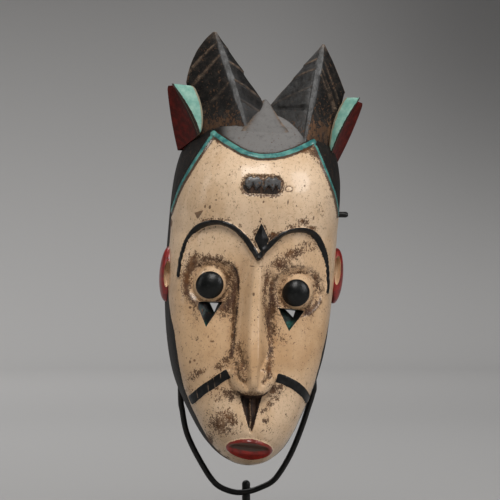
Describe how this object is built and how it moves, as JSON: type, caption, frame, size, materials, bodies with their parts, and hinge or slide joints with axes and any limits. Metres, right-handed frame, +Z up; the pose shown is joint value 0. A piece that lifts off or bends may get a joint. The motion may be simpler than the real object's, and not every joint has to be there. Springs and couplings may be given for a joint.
{
  "type": "carved face mask on a display stand",
  "caption": "Carved and painted wooden face mask with pointed hair lobes, hollow behind, hung by its rim on a bent black rod above a post and a flat steel foot.",
  "frame": {"origin": "middle of the base plate's underside, on the surface that it stands on", "axes": "+Z up; the face looks along -Y; +X is to the right of someone who faces the mask"},
  "size_m": [0.1701, 0.1393, 0.4497],
  "materials": {
    "painted_wood": "glossy aged cream, black, turquoise and red paint, rubbed and chipped to brown wood",
    "black_steel": "satin black over steel"
  },
  "bodies": {
    "root": {"mask": "painted_wood", "cradle_loop": "black_steel", "post": "black_steel", "base_plate": "black_steel"}
  },
  "joints": []
}
